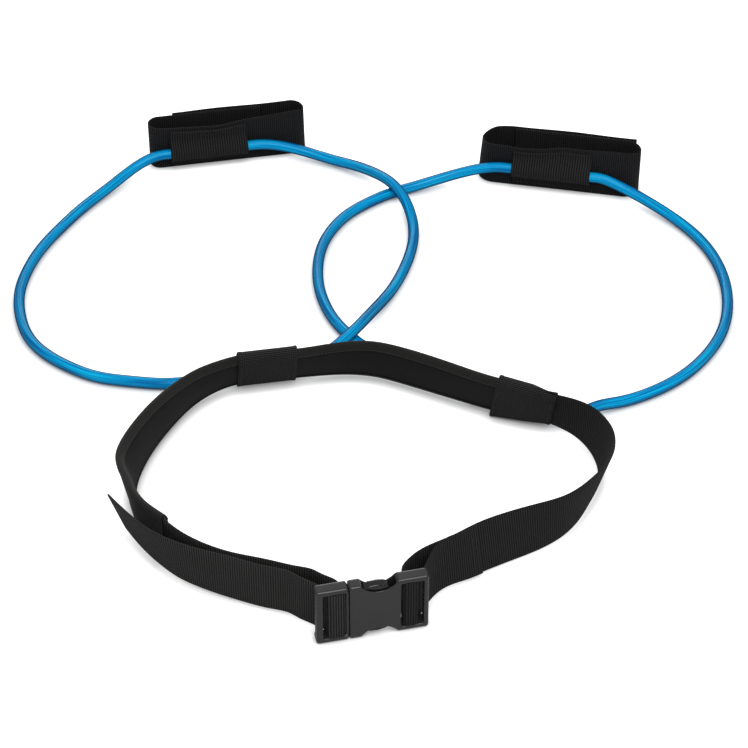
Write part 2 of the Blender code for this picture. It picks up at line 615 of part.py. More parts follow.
def make_tunnel(side, axis, height, face):
    """The patch sewn on the cuff's front, bulging over the tube, open at both ends."""
    middle = 0.3 * MM + STRAP_WIDTH / 2 - height
    low, high = middle - TUNNEL_HEIGHT / 2, middle + TUNNEL_HEIGHT / 2
    inner, outer = TUBE_RADIUS + TUBE_PLAY, TUBE_RADIUS + TUBE_PLAY + TUNNEL_THICK
    tuck = 4 * MM
    over = arc((0, 0), outer, 105, 255, 10)
    under = arc((0, 0), inner, 255, 105, 10)
    section = [(face, high), (face - TUNNEL_THICK, high), (face - TUNNEL_THICK, outer + tuck)] + over
    section += [(face - TUNNEL_THICK, -outer - tuck), (face - TUNNEL_THICK, low), (face, low)]
    section += [(face, -inner - tuck)] + under + [(face, inner + tuck)]
    guide = outline(section, "tunnel")
    guide.data.fill_mode = "BOTH"
    guide.data.extrude = TUNNEL_LENGTH / 2
    mesh = mesh_of(guide)
    mesh.transform(Matrix(((0, 0, 1, 0), (1, 0, 0, 0), (0, 1, 0, 0), (0, 0, 0, 1))))
    give_mesh("cuff_tunnel_" + side, mesh, webbing, axis)


def make_socket(frame):
    """The half of the buckle that the plug slides into, with the ladder for the sewn strap."""
    half_length, half_thick, top = BUCKLE_LENGTH / 2, BUCKLE_THICK / 2, BUCKLE_HEIGHT
    through = (-BUCKLE_THICK, BUCKLE_THICK)
    socket = block("buckle_socket", (SOCKET_MOUTH, half_length), (-half_thick, half_thick), (0, top), moulded,
                   frame, BUCKLE_EDGE)
    room = half_thick - SOCKET_WALL
    cavity = block("socket_cavity", (SOCKET_MOUTH - 5 * MM, SOCKET_LADDER - SOCKET_END_WALL), (-room, room),
                   (SOCKET_SIDE_WALL, top - SOCKET_SIDE_WALL), moulded, frame, as_cutter=True)
    cut(socket, cavity)
    radius = (SCOOP_WIDTH ** 2 / 4 + SCOOP_DEPTH ** 2) / (2 * SCOOP_DEPTH)
    for name, height in (("scoop_low", SCOOP_DEPTH - radius), ("scoop_high", top - SCOOP_DEPTH + radius)):
        cage = bmesh.new()
        bmesh.ops.create_cone(cage, cap_ends=True, segments=48, radius1=radius, radius2=radius,
                              depth=2 * BUCKLE_THICK, matrix=Matrix.Translation((SCOOP_CENTRE, 0, height))
                              @ Matrix.Rotation(math.radians(90), 4, "X"))
        mesh = bpy.data.meshes.new(name)
        cage.to_mesh(mesh)
        cage.free()
        scoop = give_mesh(name, mesh, moulded, frame)
        hide(scoop)
        cut(socket, scoop)
    bar = (SOCKET_LADDER + SOCKET_SLOT, SOCKET_LADDER + SOCKET_SLOT + SOCKET_BAR_WIDTH)
    cut_ladder("socket", socket, frame, (SOCKET_LADDER, half_length - END_BAR_WIDTH), bar,
               (half_length - END_BAR_WIDTH - MM, half_length + MM), through)


def cut_ladder(name, body, frame, window, bar, end_bar, through):
    """Cuts a ladder's window, leaving the middle bar, and clears the back of the end bar."""
    rails = (RAIL_HEIGHT, BUCKLE_HEIGHT - RAIL_HEIGHT)
    cuts = (
        ("slot_near", (window[0], bar[0]), through),
        ("slot_far", (bar[1], window[1]), through),
        ("bar_front", window, (-BUCKLE_THICK, -BAR_THICK / 2)),
        ("bar_back", window, (BAR_THICK / 2, BUCKLE_THICK)),
        ("end_bar_back", end_bar, (END_BAR_BACK, BUCKLE_THICK)),
    )
    for part, along, across in cuts:
        cut(body, block(f"{name}_{part}", along, across, rails, moulded, frame, as_cutter=True))


def make_plug(frame):
    """The half that slides into the socket: its ladder, the cross member and the guide rail."""
    half_length, half_thick, top = BUCKLE_LENGTH / 2, BUCKLE_THICK / 2, BUCKLE_HEIGHT
    plug = block("buckle_plug", (-half_length, SOCKET_MOUTH - GAP), (-half_thick, half_thick), (0, top), moulded,
                 frame, BUCKLE_EDGE)
    bar_start = -half_length + PLUG_END_BAR_WIDTH + PLUG_SLOT
    cut_ladder("plug", plug, frame, (-half_length + PLUG_END_BAR_WIDTH, SOCKET_MOUTH + MM),
               (bar_start, bar_start + PLUG_BAR_WIDTH),
               (-half_length - MM, -half_length + PLUG_END_BAR_WIDTH + MM), (-BUCKLE_THICK, BUCKLE_THICK))
    room = half_thick - SOCKET_WALL - ARM_PLAY
    cross_start = SOCKET_MOUTH - 2.5 * MM
    inset = SOCKET_SIDE_WALL + ARM_PLAY
    cross = block("cross_member", (cross_start, SOCKET_MOUTH - 2.5 * MM + CROSS_MEMBER), (-room, room),
                  (inset, top - inset), moulded, frame, as_cutter=True)
    cut(plug, cross, "UNION")
    guide = block("guide_rail", (cross_start + CROSS_MEMBER / 2, cross_start + GUIDE_LENGTH),
                  (-GUIDE_THICK / 2, GUIDE_THICK / 2), ((top - GUIDE_HEIGHT) / 2, (top + GUIDE_HEIGHT) / 2),
                  moulded, frame, as_cutter=True)
    cut(plug, guide, "UNION")


def make_latch_arms(frame):
    """The two prongs that a finger and thumb squeeze, each hinged where it leaves the cross member."""
    room = BUCKLE_THICK / 2 - SOCKET_WALL - ARM_PLAY
    outer = BUCKLE_HEIGHT / 2 - SOCKET_SIDE_WALL - ARM_PLAY - ARM_ROOT_HEIGHT
    root_x = SOCKET_MOUTH - 2.5 * MM + CROSS_MEMBER + GAP + ARM_ROOT_RADIUS
    pad_start = 0.26 * ARM_LENGTH
    for name, side in (("latch_arm_upper", 1), ("latch_arm_lower", -1)):
        hinge = pivot(name + "_hinge", (root_x, 0, BUCKLE_HEIGHT / 2 + side * ARM_ROOT_HEIGHT), 0, frame)
        shape = arc((0, 0), ARM_ROOT_RADIUS, 90, 270, 8)
        shape += [(pad_start, -ARM_ROOT_RADIUS), (ARM_LENGTH - 7 * MM, -ARM_ROOT_RADIUS)]
        shape += [(ARM_LENGTH - 1 * MM, 1 * MM), (ARM_LENGTH - 2 * MM, outer - 3.4 * MM)]
        shape += [(ARM_LENGTH - 6 * MM, outer - 1.2 * MM), (ARM_LENGTH - 12 * MM, outer)]
        shape += [(pad_start + 5 * MM, outer - 0.4 * MM), (pad_start, outer - 2.2 * MM), (pad_start - 3 * MM, 4.2 * MM)]
        points = [(x, side * z) for x, z in shape]
        plate(name, points, 2 * room, moulded, hinge)


for old in list(bpy.data.objects):
    bpy.data.objects.remove(old)
band = collection(PART)
guides = collection("guides")

webbing = material("webbing", (0.016, 0.016, 0.018), 0.8)
tail_webbing = material("tail_webbing", (0.03, 0.03, 0.03), 0.8)
cover = material("pad_cover", (0.016, 0.016, 0.017), 0.85)
lining = material("pad_lining", (0.014, 0.014, 0.016), 0.75)
foam = material("foam", (0.05, 0.05, 0.055), 0.95)
binding = material("binding", (0.02, 0.02, 0.018), 0.8)
tape = material("hook_and_loop_tape", (0.012, 0.012, 0.013), 0.95)
rubber = material("tube_rubber", (0.0, 0.25, 0.68), 0.3)
moulded = material("moulded_plastic", (0.045, 0.043, 0.044), 0.45)

belt = make_belt_line()
make_pad(belt)
make_fixed_strap(belt)
make_adjuster_strap()

buckle_frame = pivot("buckle_middle", (*BUCKLE_MIDDLE, 0), BUCKLE_YAW)
make_socket(buckle_frame)
make_plug(buckle_frame)
make_latch_arms(buckle_frame)

for cuff in (LEFT_CUFF, RIGHT_CUFF):
    make_cuff(cuff)

for side, cuff, ends, out, back, entry, leave in (
        ("left", LEFT_CUFF, LEFT_SLEEVE_ENDS, LEFT_TUBE_OUT, LEFT_TUBE_BACK, 0, 1),
        ("right", RIGHT_CUFF, RIGHT_SLEEVE_ENDS, RIGHT_TUBE_OUT, RIGHT_TUBE_BACK, 0, 1)):
    stations = sleeve_frame(belt, ends)
    make_waist_sleeve(side, stations)
    first, last = (np.array(tube_in_sleeve(stations, share)) for share in (entry, leave))
    along = (last - first) / np.linalg.norm(last - first)
    middle = (first + last) / 2
    clear = JOINER_COLLAR / 2 + GAP
    in_sleeve = [middle - along * clear, middle - along * 14 * MM, first, first - along * 10 * MM]
    from_sleeve = [last + along * 10 * MM, last, middle + along * 14 * MM, middle + along * clear]
    in_cuff = [cuff_place(cuff, TUNNEL_LENGTH * share) for share in (-0.62, -0.5, -0.17, 0.17, 0.5, 0.62)]
    route = [tuple(p) for p in in_sleeve] + millimetres(out) + in_cuff + millimetres(back)
    make_tube(side, route + [tuple(p) for p in from_sleeve], Vector(middle), along)
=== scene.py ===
import math

import bmesh
import bpy
import numpy as np
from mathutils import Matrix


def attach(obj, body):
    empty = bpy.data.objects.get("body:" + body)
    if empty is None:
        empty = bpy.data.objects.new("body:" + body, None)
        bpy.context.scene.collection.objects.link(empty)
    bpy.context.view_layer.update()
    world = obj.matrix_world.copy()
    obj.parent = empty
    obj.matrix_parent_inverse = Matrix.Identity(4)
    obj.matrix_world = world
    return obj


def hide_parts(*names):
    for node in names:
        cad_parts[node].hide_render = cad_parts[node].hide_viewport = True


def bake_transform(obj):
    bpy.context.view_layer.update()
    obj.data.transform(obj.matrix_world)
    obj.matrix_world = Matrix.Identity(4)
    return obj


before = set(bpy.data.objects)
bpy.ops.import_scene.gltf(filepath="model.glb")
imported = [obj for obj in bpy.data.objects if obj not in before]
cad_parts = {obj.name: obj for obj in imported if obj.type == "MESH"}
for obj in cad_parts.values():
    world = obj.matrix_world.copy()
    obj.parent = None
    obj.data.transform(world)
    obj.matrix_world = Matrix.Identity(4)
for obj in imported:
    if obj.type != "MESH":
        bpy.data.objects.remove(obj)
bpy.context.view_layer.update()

# The view: a white table under a broad soft lamp, with a second lamp behind it, and the camera 40
# degrees above the table on the buckle's side. The table's white glow is seen by the camera alone,
# and it is dimmed by ambient occlusion near the belt: a painted contact shadow.
def node_in(tree, kind, values=None, **options):
    """A new node in a material's or the world's tree, with its options and its inputs' values."""
    node = tree.nodes.new("ShaderNode" + kind)
    for option, value in options.items():
        setattr(node, option, value)
    for name, value in (values or {}).items():
        node.inputs[name].default_value = value
    return node


def wire(tree, *wires):
    """Links nodes: each wire is a node, its output, the next node and its input."""
    for start, output, end, entry in wires:
        tree.links.new(start.outputs[output], end.inputs[entry])


def material(name, values):
    """A new material, its node tree and its shader, which gets the values by the names of its inputs."""
    made = bpy.data.materials.new(name)
    made.use_nodes = True
    shader = made.node_tree.nodes["Principled BSDF"]
    for entry, value in values.items():
        shader.inputs[entry].default_value = value
    return made, made.node_tree, shader


bpy.ops.object.select_all(action="DESELECT")
bpy.context.scene.view_settings.view_transform = "Standard"
bpy.ops.object.camera_add(location=(-0.0196, -1.8353, 1.5240), rotation=(math.radians(50), 0, 0))
camera = bpy.context.object
camera.data.sensor_fit = "HORIZONTAL"
camera.data.sensor_width = 36
camera.data.lens = 119.07
bpy.context.scene.camera = camera

for place, tilt, size, watts in (((0.243, -0.9, 1.9), (25, 6, 0), 1.3, 24),
                                 ((-0.307, 1.9, 0.9), (-65, 0, 0), 1.2, 12)):
    bpy.ops.object.light_add(type="AREA", location=place, rotation=[math.radians(angle) for angle in tilt])
    bpy.context.object.data.size = size
    bpy.context.object.data.energy = watts

studio = bpy.data.worlds.new("studio")
bpy.context.scene.world = studio
studio.use_nodes = True
backdrop = studio.node_tree.nodes["Background"]
backdrop.inputs["Color"].default_value = (1, 1, 1, 1)
seen = node_in(studio.node_tree, "LightPath")
glow = node_in(studio.node_tree, "MapRange", {"To Min": 0.42, "To Max": 1.0})
wire(studio.node_tree, (seen, "Is Camera Ray", glow, "Value"), (glow, "Result", backdrop, "Strength"))

table_top = -0.0003
bpy.ops.mesh.primitive_plane_add(size=9, location=(0, 0, table_top))
table = bpy.context.object
table.name = "table"
table_white, tree, shader = material("table_white", {
    "Base Color": (0.62, 0.62, 0.62, 1), "Roughness": 0.9, "Specular IOR Level": 0.1,
    "Emission Color": (1, 1, 1, 1)})
# Painted contact shadow: the camera-only glow is multiplied by ambient occlusion, so the table darkens next
# to and under the belt where shade falls.
seen = node_in(tree, "LightPath")
lift = node_in(tree, "Math", {1: 0.97}, operation="MULTIPLY")
painted_contact_shadow = node_in(tree, "AmbientOcclusion", {"Distance": 0.011})
corners = node_in(tree, "Math", {1: 1.6}, operation="POWER")
shaded = node_in(tree, "Math", operation="MULTIPLY")
wire(tree, (seen, "Is Camera Ray", lift, 0), (lift, 0, shaded, 0), (painted_contact_shadow, "AO", corners, 0),
     (corners, 0, shaded, 1), (shaded, 0, shader, "Emission Strength"))
table.data.materials.append(table_white)
table.select_set(False)


# The elastic tubes: blue latex, extruded with faint streaks along its length. Each is cut to length
# and lies in one loop from its waist band, through its cuff's tunnel and back into the band.
def smooth(points, step):
    """A natural cubic spline through points, read every step metres along it: x, y and z in metres, and
    the lean in radians. The points are in millimetres, with their lean, where they have one, in degrees."""
    p = np.array(points, float)
    p[:, :3] *= 0.001
    p[:, 3:] = np.radians(p[:, 3:])
    knots = np.r_[0, np.cumsum(np.linalg.norm(np.diff(p[:, :3], axis=0), axis=1))]
    h = np.diff(knots)
    n = len(knots)
    matrix = np.eye(n)
    right = np.zeros_like(p)
    for i in range(1, n - 1):
        matrix[i, i - 1:i + 2] = h[i - 1], 2 * (h[i - 1] + h[i]), h[i]
        right[i] = 6 * ((p[i + 1] - p[i]) / h[i] - (p[i] - p[i - 1]) / h[i - 1])
    bend = np.linalg.solve(matrix, right)
    s = np.linspace(0, knots[-1], max(2, round(knots[-1] / step) + 1))
    k = np.clip(np.searchsorted(knots, s, side="right") - 1, 0, n - 2)
    hk = h[k][:, None]
    t = s[:, None] - knots[k][:, None]
    cubic = (bend[k] * (hk - t) ** 3 + bend[k + 1] * t ** 3) / (6 * hk)
    return cubic + (p[k] / hk - bend[k] * hk / 6) * (hk - t) + (p[k + 1] / hk - bend[k + 1] * hk / 6) * t


def directions(line):
    """At each place of a line: the way along it, the way level and to its right, and the way up."""
    along = np.gradient(line[:, :3], axis=0)
    along /= np.linalg.norm(along, axis=1)[:, None]
    right = np.column_stack([along[:, 1], -along[:, 0], np.zeros(len(line))])
    right /= np.linalg.norm(right, axis=1)[:, None]
    return along, right, np.cross(right, along)


def carry(name, line, right, up, sections, finish, angle=40):
    """A closed piece that carries a section along a line; its UV map is metres along and metres round."""
    n = len(line)
    up = np.broadcast_to(up, (n, 3))
    sections = np.broadcast_to(np.array(sections, float), (n, *np.shape(sections)[-2:]))
    m = sections.shape[1]
    places = line[:, None, :3] + right[:, None, :] * sections[..., :1] + up[:, None, :] * sections[..., 1:2]
    run = np.r_[0, np.cumsum(np.linalg.norm(np.diff(line[:, :3], axis=0), axis=1))]
    middle = sections[n // 2]
    round_it = np.r_[0, np.cumsum(np.linalg.norm(np.diff(np.vstack([middle, middle[:1]]), axis=0), axis=1))]
    faces = [(i * m + j, i * m + (j + 1) % m, (i + 1) * m + (j + 1) % m, (i + 1) * m + j)
             for i in range(n - 1) for j in range(m)]
    corners = [(run[i + a], round_it[j + b]) for i in range(n - 1) for j in range(m)
               for a, b in ((0, 0), (0, 1), (1, 1), (1, 0))]
    faces += [tuple(range(m))[::-1], tuple((n - 1) * m + j for j in range(m))]
    corners += [(run[0] - middle[j][0], round_it[j]) for j in range(m)][::-1]
    corners += [(run[-1] + middle[j][0], round_it[j]) for j in range(m)]
    mesh = bpy.data.meshes.new(name)
    mesh.from_pydata(places.reshape(-1, 3).tolist(), [], faces)
    mesh.uv_layers.new(name="UVMap").data.foreach_set("uv", np.array(corners, float).ravel())
    piece = bpy.data.objects.new(name, mesh)
    bpy.context.collection.objects.link(piece)
    shell = bmesh.new()
    shell.from_mesh(mesh)
    bmesh.ops.recalc_face_normals(shell, faces=shell.faces)
    shell.to_mesh(mesh)
    shell.free()
    mesh.materials.append(finish)
    bpy.ops.object.select_all(action="DESELECT")
    piece.select_set(True)
    bpy.context.view_layer.objects.active = piece
    bpy.ops.object.shade_smooth_by_angle(angle=math.radians(angle))
    piece.select_set(False)
    return piece


def ramp(tree, *stops):
    """A colour ramp in a tree, with its stops: each is a place on the ramp and a colour."""
    node = tree.nodes.new("ShaderNodeValToRGB")
    ends = node.color_ramp.elements
    for end, (position, colour) in zip(ends, (stops[0], stops[-1])):
        end.position = position
        end.color = (*colour, 1)
    for position, colour in stops[1:-1]:
        ends.new(position).color = (*colour, 1)
    return node


latex, tree, shader = material("blue_latex", {"Specular Tint": (0.3, 0.8, 1, 1)})
place = node_in(tree, "TexCoord")
stretched = node_in(tree, "Mapping", {"Scale": (14, 700, 1)})
streaks = node_in(tree, "TexNoise", {"Scale": 1, "Detail": 3})
tint = ramp(tree, (0.36, (0.0, 0.16, 0.46)), (0.5, (0.0, 0.35, 0.76)), (0.68, (0.0, 0.6, 0.98)))
edges = node_in(tree, "LayerWeight", {"Blend": 0.4})
depth = node_in(tree, "MapRange", {"From Min": 0.15, "From Max": 0.65, "To Min": 0.0, "To Max": 0.92})
deep = node_in(tree, "Mix", {"B": (0.0, 0.035, 0.13, 1)}, data_type="RGBA")
shimmer = node_in(tree, "MapRange", {"From Min": 0.1, "From Max": 0.6, "To Min": 0.38, "To Max": 0.0})
gloss = node_in(tree, "MapRange", {"To Min": 0.16, "To Max": 0.34})
ridges = node_in(tree, "Bump", {"Strength": 0.4, "Distance": 0.0005})
wire(tree, (place, "UV", stretched, "Vector"), (stretched, "Vector", streaks, "Vector"),
     (streaks, "Fac", tint, "Fac"), (tint, "Color", deep, "A"), (edges, "Facing", depth, "Value"),
     (depth, "Result", deep, "Factor"), (deep, "Result", shader, "Base Color"),
     (edges, "Facing", shimmer, "Value"), (shimmer, "Result", shader, "Specular IOR Level"),
     (streaks, "Fac", gloss, "Value"), (gloss, "Result", shader, "Roughness"),
     (streaks, "Fac", ridges, "Height"), (ridges, "Normal", shader, "Normal"))

left_tube_route = [
    (-123.5, -27.7, 13.9), (-136.2, -30, 13.9), (-150, -32.5, 13.9), (-159.8, -34.3, 13.9),
    (-185.6, -37, 8.2), (-216.6, -40, 5.8), (-248.6, -37, 5.8), (-285.6, -29, 5.8), (-311.6, -15, 5.8),
    (-335.6, 4, 5.8), (-354.6, 29, 5.8), (-366.6, 62, 5.8), (-371.6, 101, 5.8), (-367.6, 137, 5.8),
    (-356.6, 175, 5.8), (-339.6, 211, 5.8), (-319.6, 246, 6), (-296.6, 276, 8.2), (-275.6, 299, 13.2),
    (-244, 315.8, 21), (-234.3, 317.7, 21), (-207.8, 322.8, 21), (-180.4, 328.2, 21),
    (-153.9, 333.3, 21), (-144.2, 335.2, 21), (-113.6, 338, 16.2), (-87.6, 335, 10.2), (-61.6, 326, 7.2),
    (-37.6, 310, 10.7), (-16.6, 289, 15.7), (-0.6, 269, 17.5), (11.4, 248, 14.2), (18.9, 224, 8.7),
    (20.9, 197, 6), (17.4, 166, 5.8), (9.4, 135, 5.8), (-1.6, 105, 6.2), (-14.6, 76, 9.7), (-26.6, 49, 15.2),
    (-37.6, 28, 17.5), (-51.6, 10, 15.7), (-67.6, -7, 13.7), (-85, -20.7, 13.9), (-94.9, -22.5, 13.9),
    (-108.6, -25, 13.9), (-121.4, -27.3, 13.9),
]
right_tube_route = [
    (117.9, -79.1, 12.2), (106.1, -73.9, 12.2), (93.3, -68.2, 12.2), (84.1, -64.2, 12.3), (65.4, -41, 7.4),
    (40.4, -22, 5.8), (12.4, -7, 5.8), (-13.6, 5, 5.8), (-32.6, 19, 5.8), (-44.6, 34, 5.8), (-57.6, 55, 5.8),
    (-67.6, 80, 5.8), (-73.6, 105, 5.8), (-76.1, 132, 5.8), (-75.1, 158, 5.8), (-70.6, 183, 5.8),
    (-61.6, 207, 5.8), (-47.6, 230, 5.8), (-26.6, 251, 5.8), (-2.6, 268, 5.8), (22.4, 279, 6.7),
    (48.4, 286, 11.2), (76.4, 289.5, 18.2), (115, 287.7, 25), (124.7, 285.8, 25), (151.2, 280.7, 25),
    (178.6, 275.3, 25), (205.1, 270.2, 25), (214.8, 268.3, 25), (230.4, 263.5, 21.2), (254.4, 251, 14.7),
    (282.4, 230, 8.2), (306.4, 200, 6), (322.4, 164, 5.8), (330.4, 122, 5.8), (329.4, 79, 5.8),
    (319.4, 38, 5.8), (300.4, 2, 5.8), (273.4, -30, 5.8), (240.4, -54, 5.8), (210.4, -68, 6.6),
    (193.4, -76, 9.5), (180.4, -86, 12.5), (168.4, -93, 13.2), (153.7, -94.8, 12.1), (144.5, -90.7, 12.1),
    (131.7, -85.1, 12.2), (119.9, -79.9, 12.2),
]
tube_radius = 0.0055
tube_sides = 20
tube_round = [(tube_radius * math.cos(a), tube_radius * math.sin(a))
              for a in (math.radians(-90 + 360 * i / tube_sides) for i in range(tube_sides))]
for side, points in (("left", left_tube_route), ("right", right_tube_route)):
    line = smooth(points, step=0.005)
    along, right, up = directions(line)
    tube = carry("elastic_tube_" + side, line, right, up, tube_round, latex)
    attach(tube, "belt")
    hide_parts("tube_" + side)


# The two plugs that close the tube loops inside the waist bands: moulded black plastic, pushed into
# the tubes' bores. The buckle is made of the same satin plastic.
def moulded(name, dark, light, smoothest, roughest):
    """Moulded plastic with a fine grain, in two tones, worn smoother in some places than in others."""
    made, tree, shader = material(name, {})
    place = node_in(tree, "TexCoord")
    grain = node_in(tree, "TexNoise", {"Scale": 1400, "Detail": 4})
    cloud = node_in(tree, "TexNoise", {"Scale": 45})
    tint = ramp(tree, (0, dark), (1, light))
    gloss = node_in(tree, "MapRange", {"To Min": smoothest, "To Max": roughest})
    relief = node_in(tree, "Bump", {"Strength": 0.25, "Distance": 0.00012})
    wire(tree, (place, "Object", grain, "Vector"), (place, "Object", cloud, "Vector"),
         (grain, "Fac", tint, "Fac"), (tint, "Color", shader, "Base Color"),
         (cloud, "Fac", gloss, "Value"), (gloss, "Result", shader, "Roughness"),
         (grain, "Fac", relief, "Height"), (relief, "Normal", shader, "Normal"))
    return made


def refine(node, finish, rounds=0, grid=0.0005):
    """Gives a moulded CAD piece its finish, and rounds its edges as they come out of a mould."""
    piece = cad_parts[node]
    for held in piece.material_slots:
        held.material = finish
    if rounds:
        even = piece.modifiers.new("even mesh", "REMESH")
        even.mode = "VOXEL"
        even.voxel_size = grid
        even.use_smooth_shade = True
        soft = piece.modifiers.new("moulded edges", "SMOOTH")
        soft.factor = 0.5
        soft.iterations = rounds


satin = moulded("satin_plastic", (0.023, 0.022, 0.023), (0.036, 0.034, 0.035), 0.2, 0.34)
for side in ("left", "right"):
    refine("tube_joiner_" + side, satin)


# The pad's foam: a soft strip between the webbing and the lining, thickest along its middle. It is
# cut with the pad's other layers and held by the tape sewn over both long edges.
strap_width = 0.05
strap_thick = 0.0016
pad_overhang = 0.0035
cloth_reach = 0.0026
lining_thick = 0.0006
cover_thick = 0.0004
rise = np.array([0, 0, 1.0])


def lean_frame(line):
    """Across a leaning belt: the way towards the wearer and the way up the webbing, at each place."""
    right = directions(line)[1]
    lean = line[:, 3:4]
    return right * np.cos(lean) - rise * np.sin(lean), right * np.sin(lean) + rise * np.cos(lean)


def share(value, start, end):
    """How far a value has come from start to end: 0 before start, 1 past end."""
    return np.clip((value - start) / (end - start), 0, 1)


def pad_depth(height, edge, step, crown, step_wide=0.011):
    """How far a layer of the pad stands from the webbing's middle at a height: less near its edges."""
    low, high = -pad_overhang, strap_width + pad_overhang
    from_edge = share(np.minimum(height - low, high - height), 0, step_wide)
    bulge = np.sin(np.pi * share(height, low, high)) ** 1.5
    return edge + step * from_edge * from_edge * (3 - 2 * from_edge) + crown * bulge


belt_points = [
    (-201.6, -278, 4.4, 0), (-214.6, -261, 4.4, -4), (-225.6, -242, 4.4, -7), (-232.6, -220, 4.5, -9),
    (-237.6, -200, 4.6, -11), (-237.6, -180, 4.6, -8), (-232.6, -154, 4.6, -2.5), (-222.6, -124.4, 4.5, 3),
    (-209.6, -97, 4.9, 9), (-192.6, -69.8, 5.8, 16.5), (-171.6, -50, 7.2, 22.5), (-149.6, -39.2, 8.1, 24.5),
    (-131.6, -35.9, 8.2, 24.5), (-111.6, -32.3, 8.2, 24.5), (-92.6, -28.9, 8.1, 24.5),
    (-69.6, -24.8, 7.2, 22.5), (-44.6, -22.2, 6.3, 19.8), (-18.6, -25, 5.9, 17), (9.4, -35.8, 5.8, 15),
    (37.4, -49, 5.9, 15), (65.4, -62.6, 6.3, 16.5), (90.4, -75, 7.3, 18), (107.4, -82.4, 7.4, 18.2),
    (124.4, -89.9, 7.4, 18), (141.4, -97.4, 7.2, 17), (154.4, -103.8, 5.4, 13), (165.9, -112, 3.7, 8),
    (173.9, -121, 2.2, 2), (179.9, -132, 1.4, -4), (183.4, -143, 1.4, -8), (185.4, -156, 1.6, -12),
    (184.9, -170, 1.7, -14), (181.4, -185, 1.8, -15), (175.4, -199, 1.8, -14), (164.4, -221.5, 1.4, -8),
    (147.9, -244, 1.2, -1), (125.4, -262, 1.6, 8), (100.4, -276.5, 2.2, 13),
]
pad_end = (0.1244, -0.0899)
whole_line = smooth(belt_points, step=0.004)
pad_ends_at = 1 + int(np.argmin(np.hypot(whole_line[:, 0] - pad_end[0], whole_line[:, 1] - pad_end[1])))
inward, upward = (way[:pad_ends_at] for way in lean_frame(whole_line))
pad_line = whole_line[:pad_ends_at]
heights = np.linspace(-cloth_reach, strap_width + cloth_reach, 15)
lining_face = pad_depth(heights, edge=0.0021, step=0.0023, crown=0.0016)

foam_grey, tree, shader = material("grey_foam", {"Roughness": 0.95})
place = node_in(tree, "TexCoord")
cells = node_in(tree, "TexVoronoi", {"Scale": 900})
tint = ramp(tree, (0, (0.03, 0.03, 0.033)), (1, (0.07, 0.07, 0.075)))
pores = node_in(tree, "Bump", {"Strength": 0.5, "Distance": 0.0003})
wire(tree, (place, "UV", cells, "Vector"), (cells, "Distance", tint, "Fac"),
     (tint, "Color", shader, "Base Color"), (cells, "Distance", pores, "Height"),
     (pores, "Normal", shader, "Normal"))
foam_back = 0.00105
foam_face = lining_face - lining_thick - 0.0001
foam_section = [(foam_back, y) for y in heights] + list(zip(foam_face, heights))[::-1]
foam = carry("pad_foam_strip", pad_line, inward, upward, foam_section, foam_grey)
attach(foam, "belt")
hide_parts("pad_foam")


# The pad's lining: smooth black knitted cloth against the wearer, drawn down to the edge tape on
# both long sides so that the foam under it stands out a little.
def cloth(name, dark, light, rib, thread, depth, rough=0.82, fuzz=0.0, turned=False):
    """Woven cloth on the UV map in metres: ribs across the cloth, threads over them, uneven in tone."""
    made, tree, shader = material(name, {
        "Sheen Weight": 0.02 + fuzz, "Sheen Roughness": 0.5, "Specular IOR Level": 0.2})
    wave_length = 0.314
    place = node_in(tree, "TexCoord")
    ribs = node_in(tree, "TexWave", {"Scale": wave_length / rib, "Distortion": 0.9, "Detail": 2,
                                     "Detail Scale": 1.6}, bands_direction="Y" if turned else "X")
    threads = node_in(tree, "TexWave", {"Scale": wave_length / thread, "Distortion": 1.4, "Detail": 2},
                      bands_direction="X" if turned else "Y")
    fluff = node_in(tree, "TexNoise", {"Scale": 1500, "Detail": 3})
    woven = node_in(tree, "Math", {1: 0.45}, operation="MULTIPLY_ADD")
    uneven = node_in(tree, "Math", {1: 0.7}, operation="MULTIPLY_ADD")
    scaled = node_in(tree, "Math", {1: 0.55}, operation="MULTIPLY")
    tint = ramp(tree, (0.45, dark), (0.9375, light))
    matt = node_in(tree, "MapRange", {"To Min": rough - 0.1, "To Max": rough + 0.1})
    relief = node_in(tree, "Bump", {"Strength": 0.8, "Distance": depth})
    wire(tree, (place, "UV", ribs, "Vector"), (place, "UV", threads, "Vector"),
         (place, "UV", fluff, "Vector"), (threads, "Fac", woven, 0), (ribs, "Fac", woven, 2),
         (fluff, "Fac", uneven, 0), (woven, 0, uneven, 2), (uneven, 0, scaled, 0), (scaled, 0, tint, "Fac"),
         (tint, "Color", shader, "Base Color"), (fluff, "Fac", matt, "Value"),
         (matt, "Result", shader, "Roughness"), (uneven, 0, relief, "Height"),
         (relief, "Normal", shader, "Normal"))
    return made


knit = cloth("smooth_lining", (0.0035, 0.0035, 0.004), (0.011, 0.011, 0.013),
             rib=0.0007, thread=0.0007, depth=0.00008, rough=0.74)
lining_section = list(zip(lining_face - lining_thick, heights)) + list(zip(lining_face, heights))[::-1]
lining = carry("pad_lining_cloth", pad_line, inward, upward, lining_section, knit)
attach(lining, "belt")
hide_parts("pad_lining")

# The pad's cover: a coarse brownish black cloth outside the webbing. It is cut as large as the
# lining and sewn down with it by the same edge tape.
coarse = cloth("coarse_cover", (0.006, 0.006, 0.0055), (0.045, 0.043, 0.04),
               rib=0.0016, thread=0.0016, depth=0.0003, rough=0.88, fuzz=0.1)
cover_face = -pad_depth(heights, edge=0.0013, step=0.0005, crown=0.0003)
cover_section = list(zip(cover_face, heights)) + list(zip(cover_face + cover_thick, heights))[::-1]
cover = carry("pad_cover_cloth", pad_line, inward, upward, cover_section, coarse)
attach(cover, "belt")
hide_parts("pad_cover")


